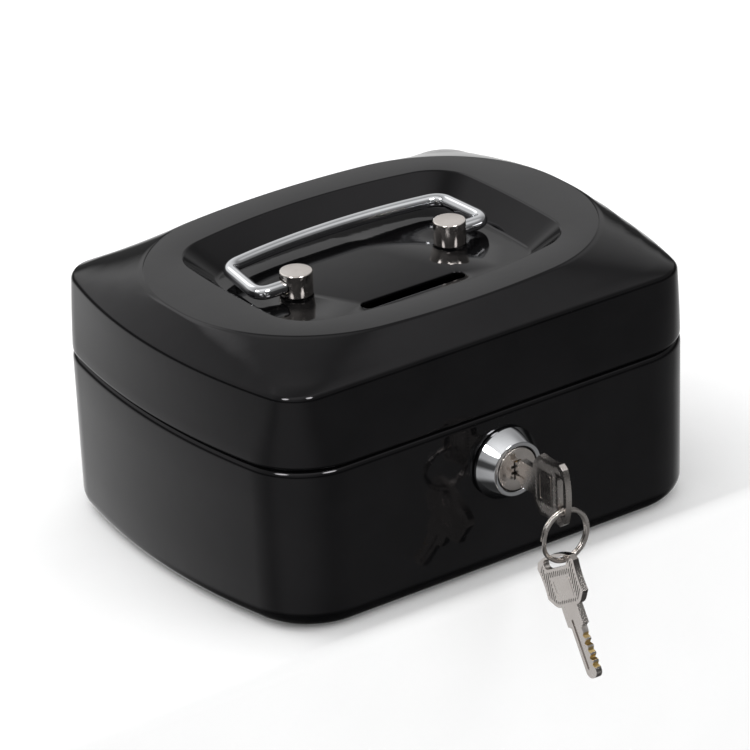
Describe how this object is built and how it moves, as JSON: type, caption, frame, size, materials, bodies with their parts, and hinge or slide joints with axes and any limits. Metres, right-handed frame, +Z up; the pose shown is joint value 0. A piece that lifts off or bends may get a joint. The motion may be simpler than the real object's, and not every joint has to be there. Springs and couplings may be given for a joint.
{
  "type": "lockable coin bank cash box",
  "caption": "Small bowed steel cash box with a coin slot, fold-down wire handle, hinged lid, front cam lock, key and spare key on a ring.",
  "frame": {"origin": "centre of the base's flat underside", "axes": "+Z up, -Y towards the lock side, +X to the right seen from the lock side"},
  "size_m": [0.152, 0.1635, 0.0952],
  "materials": {
    "black_enamel": "gloss black stoved enamel on pressed steel",
    "chrome": "bright chrome plate",
    "brushed_nickel": "satin turned nickel plate",
    "key_nickel": "satin nickel plate on stamped brass",
    "zinc_plate": "bright zinc plate",
    "wafer_brass": "stamped brass",
    "tray_plastic": "moulded black polystyrene, fine matt grain"
  },
  "bodies": {
    "base": {"base_shell": "black_enamel", "lock_housing": "chrome", "lock_washer": "zinc_plate", "lock_nut": "zinc_plate", "hinge_leaf_base_left": "zinc_plate", "hinge_leaf_base_right": "zinc_plate", "hinge_pin_left": "zinc_plate", "hinge_pin_right": "zinc_plate", "base_rivet_left_1": "zinc_plate", "base_rivet_left_2": "zinc_plate", "base_rivet_right_1": "zinc_plate", "base_rivet_right_2": "zinc_plate"},
    "tray": {"coin_tray": "tray_plastic"},
    "lid": {"lid_shell": "black_enamel", "latch_catch": "zinc_plate", "hinge_leaf_lid_left": "zinc_plate", "hinge_leaf_lid_right": "zinc_plate", "lid_rivet_left_1": "zinc_plate", "lid_rivet_left_2": "zinc_plate", "lid_rivet_right_1": "zinc_plate", "lid_rivet_right_2": "zinc_plate", "handle_post_left": "brushed_nickel", "handle_post_right": "brushed_nickel", "post_screw_left": "zinc_plate", "post_screw_right": "zinc_plate", "post_washer_left": "zinc_plate", "post_washer_right": "zinc_plate"},
    "handle": {"handle_bail": "chrome"},
    "plug": {"lock_plug": "brushed_nickel", "lock_wafer_1": "wafer_brass", "lock_wafer_2": "wafer_brass", "lock_wafer_3": "wafer_brass", "lock_wafer_4": "wafer_brass", "lock_cam": "zinc_plate", "cam_washer": "zinc_plate", "cam_screw": "zinc_plate"},
    "key": {"key_in_lock": "key_nickel"},
    "ring": {"key_ring": "key_nickel"},
    "spare": {"spare_key": "key_nickel"}
  },
  "joints": [
    {"name": "lid_hinge", "type": "hinge", "parent": "base", "child": "lid", "pos_m": [0, 0.0614, 0.049], "axis": [-1, 0, 0], "range_deg": [0, 98]},
    {"name": "handle_swing", "type": "hinge", "parent": "lid", "child": "handle", "pos_m": [0, -0.0004, 0.0736], "axis": [1, 0, 0], "range_deg": [-5.5, 180]},
    {"name": "tray_lift", "type": "slide", "parent": "base", "child": "tray", "axis": [0, 0, 1], "range_m": [0, 0.007]},
    {"name": "lock_turn", "type": "hinge", "parent": "base", "child": "plug", "pos_m": [0, -0.06, 0.033], "axis": [0, 1, 0], "range_deg": [0, 90]},
    {"name": "key_pull", "type": "slide", "parent": "plug", "child": "key", "axis": [0, -1, 0], "range_m": [0, 0.02]},
    {"name": "ring_swing", "type": "hinge", "parent": "key", "child": "ring", "pos_m": [0, -0.0857, 0.0286], "axis": [1, 0, 0], "range_deg": [-60, 25]},
    {"name": "spare_key_swing", "type": "hinge", "parent": "ring", "child": "spare", "pos_m": [0, -0.0857, 0.0139], "axis": [1, 0, 0], "range_deg": [-80, 25]}
  ]
}
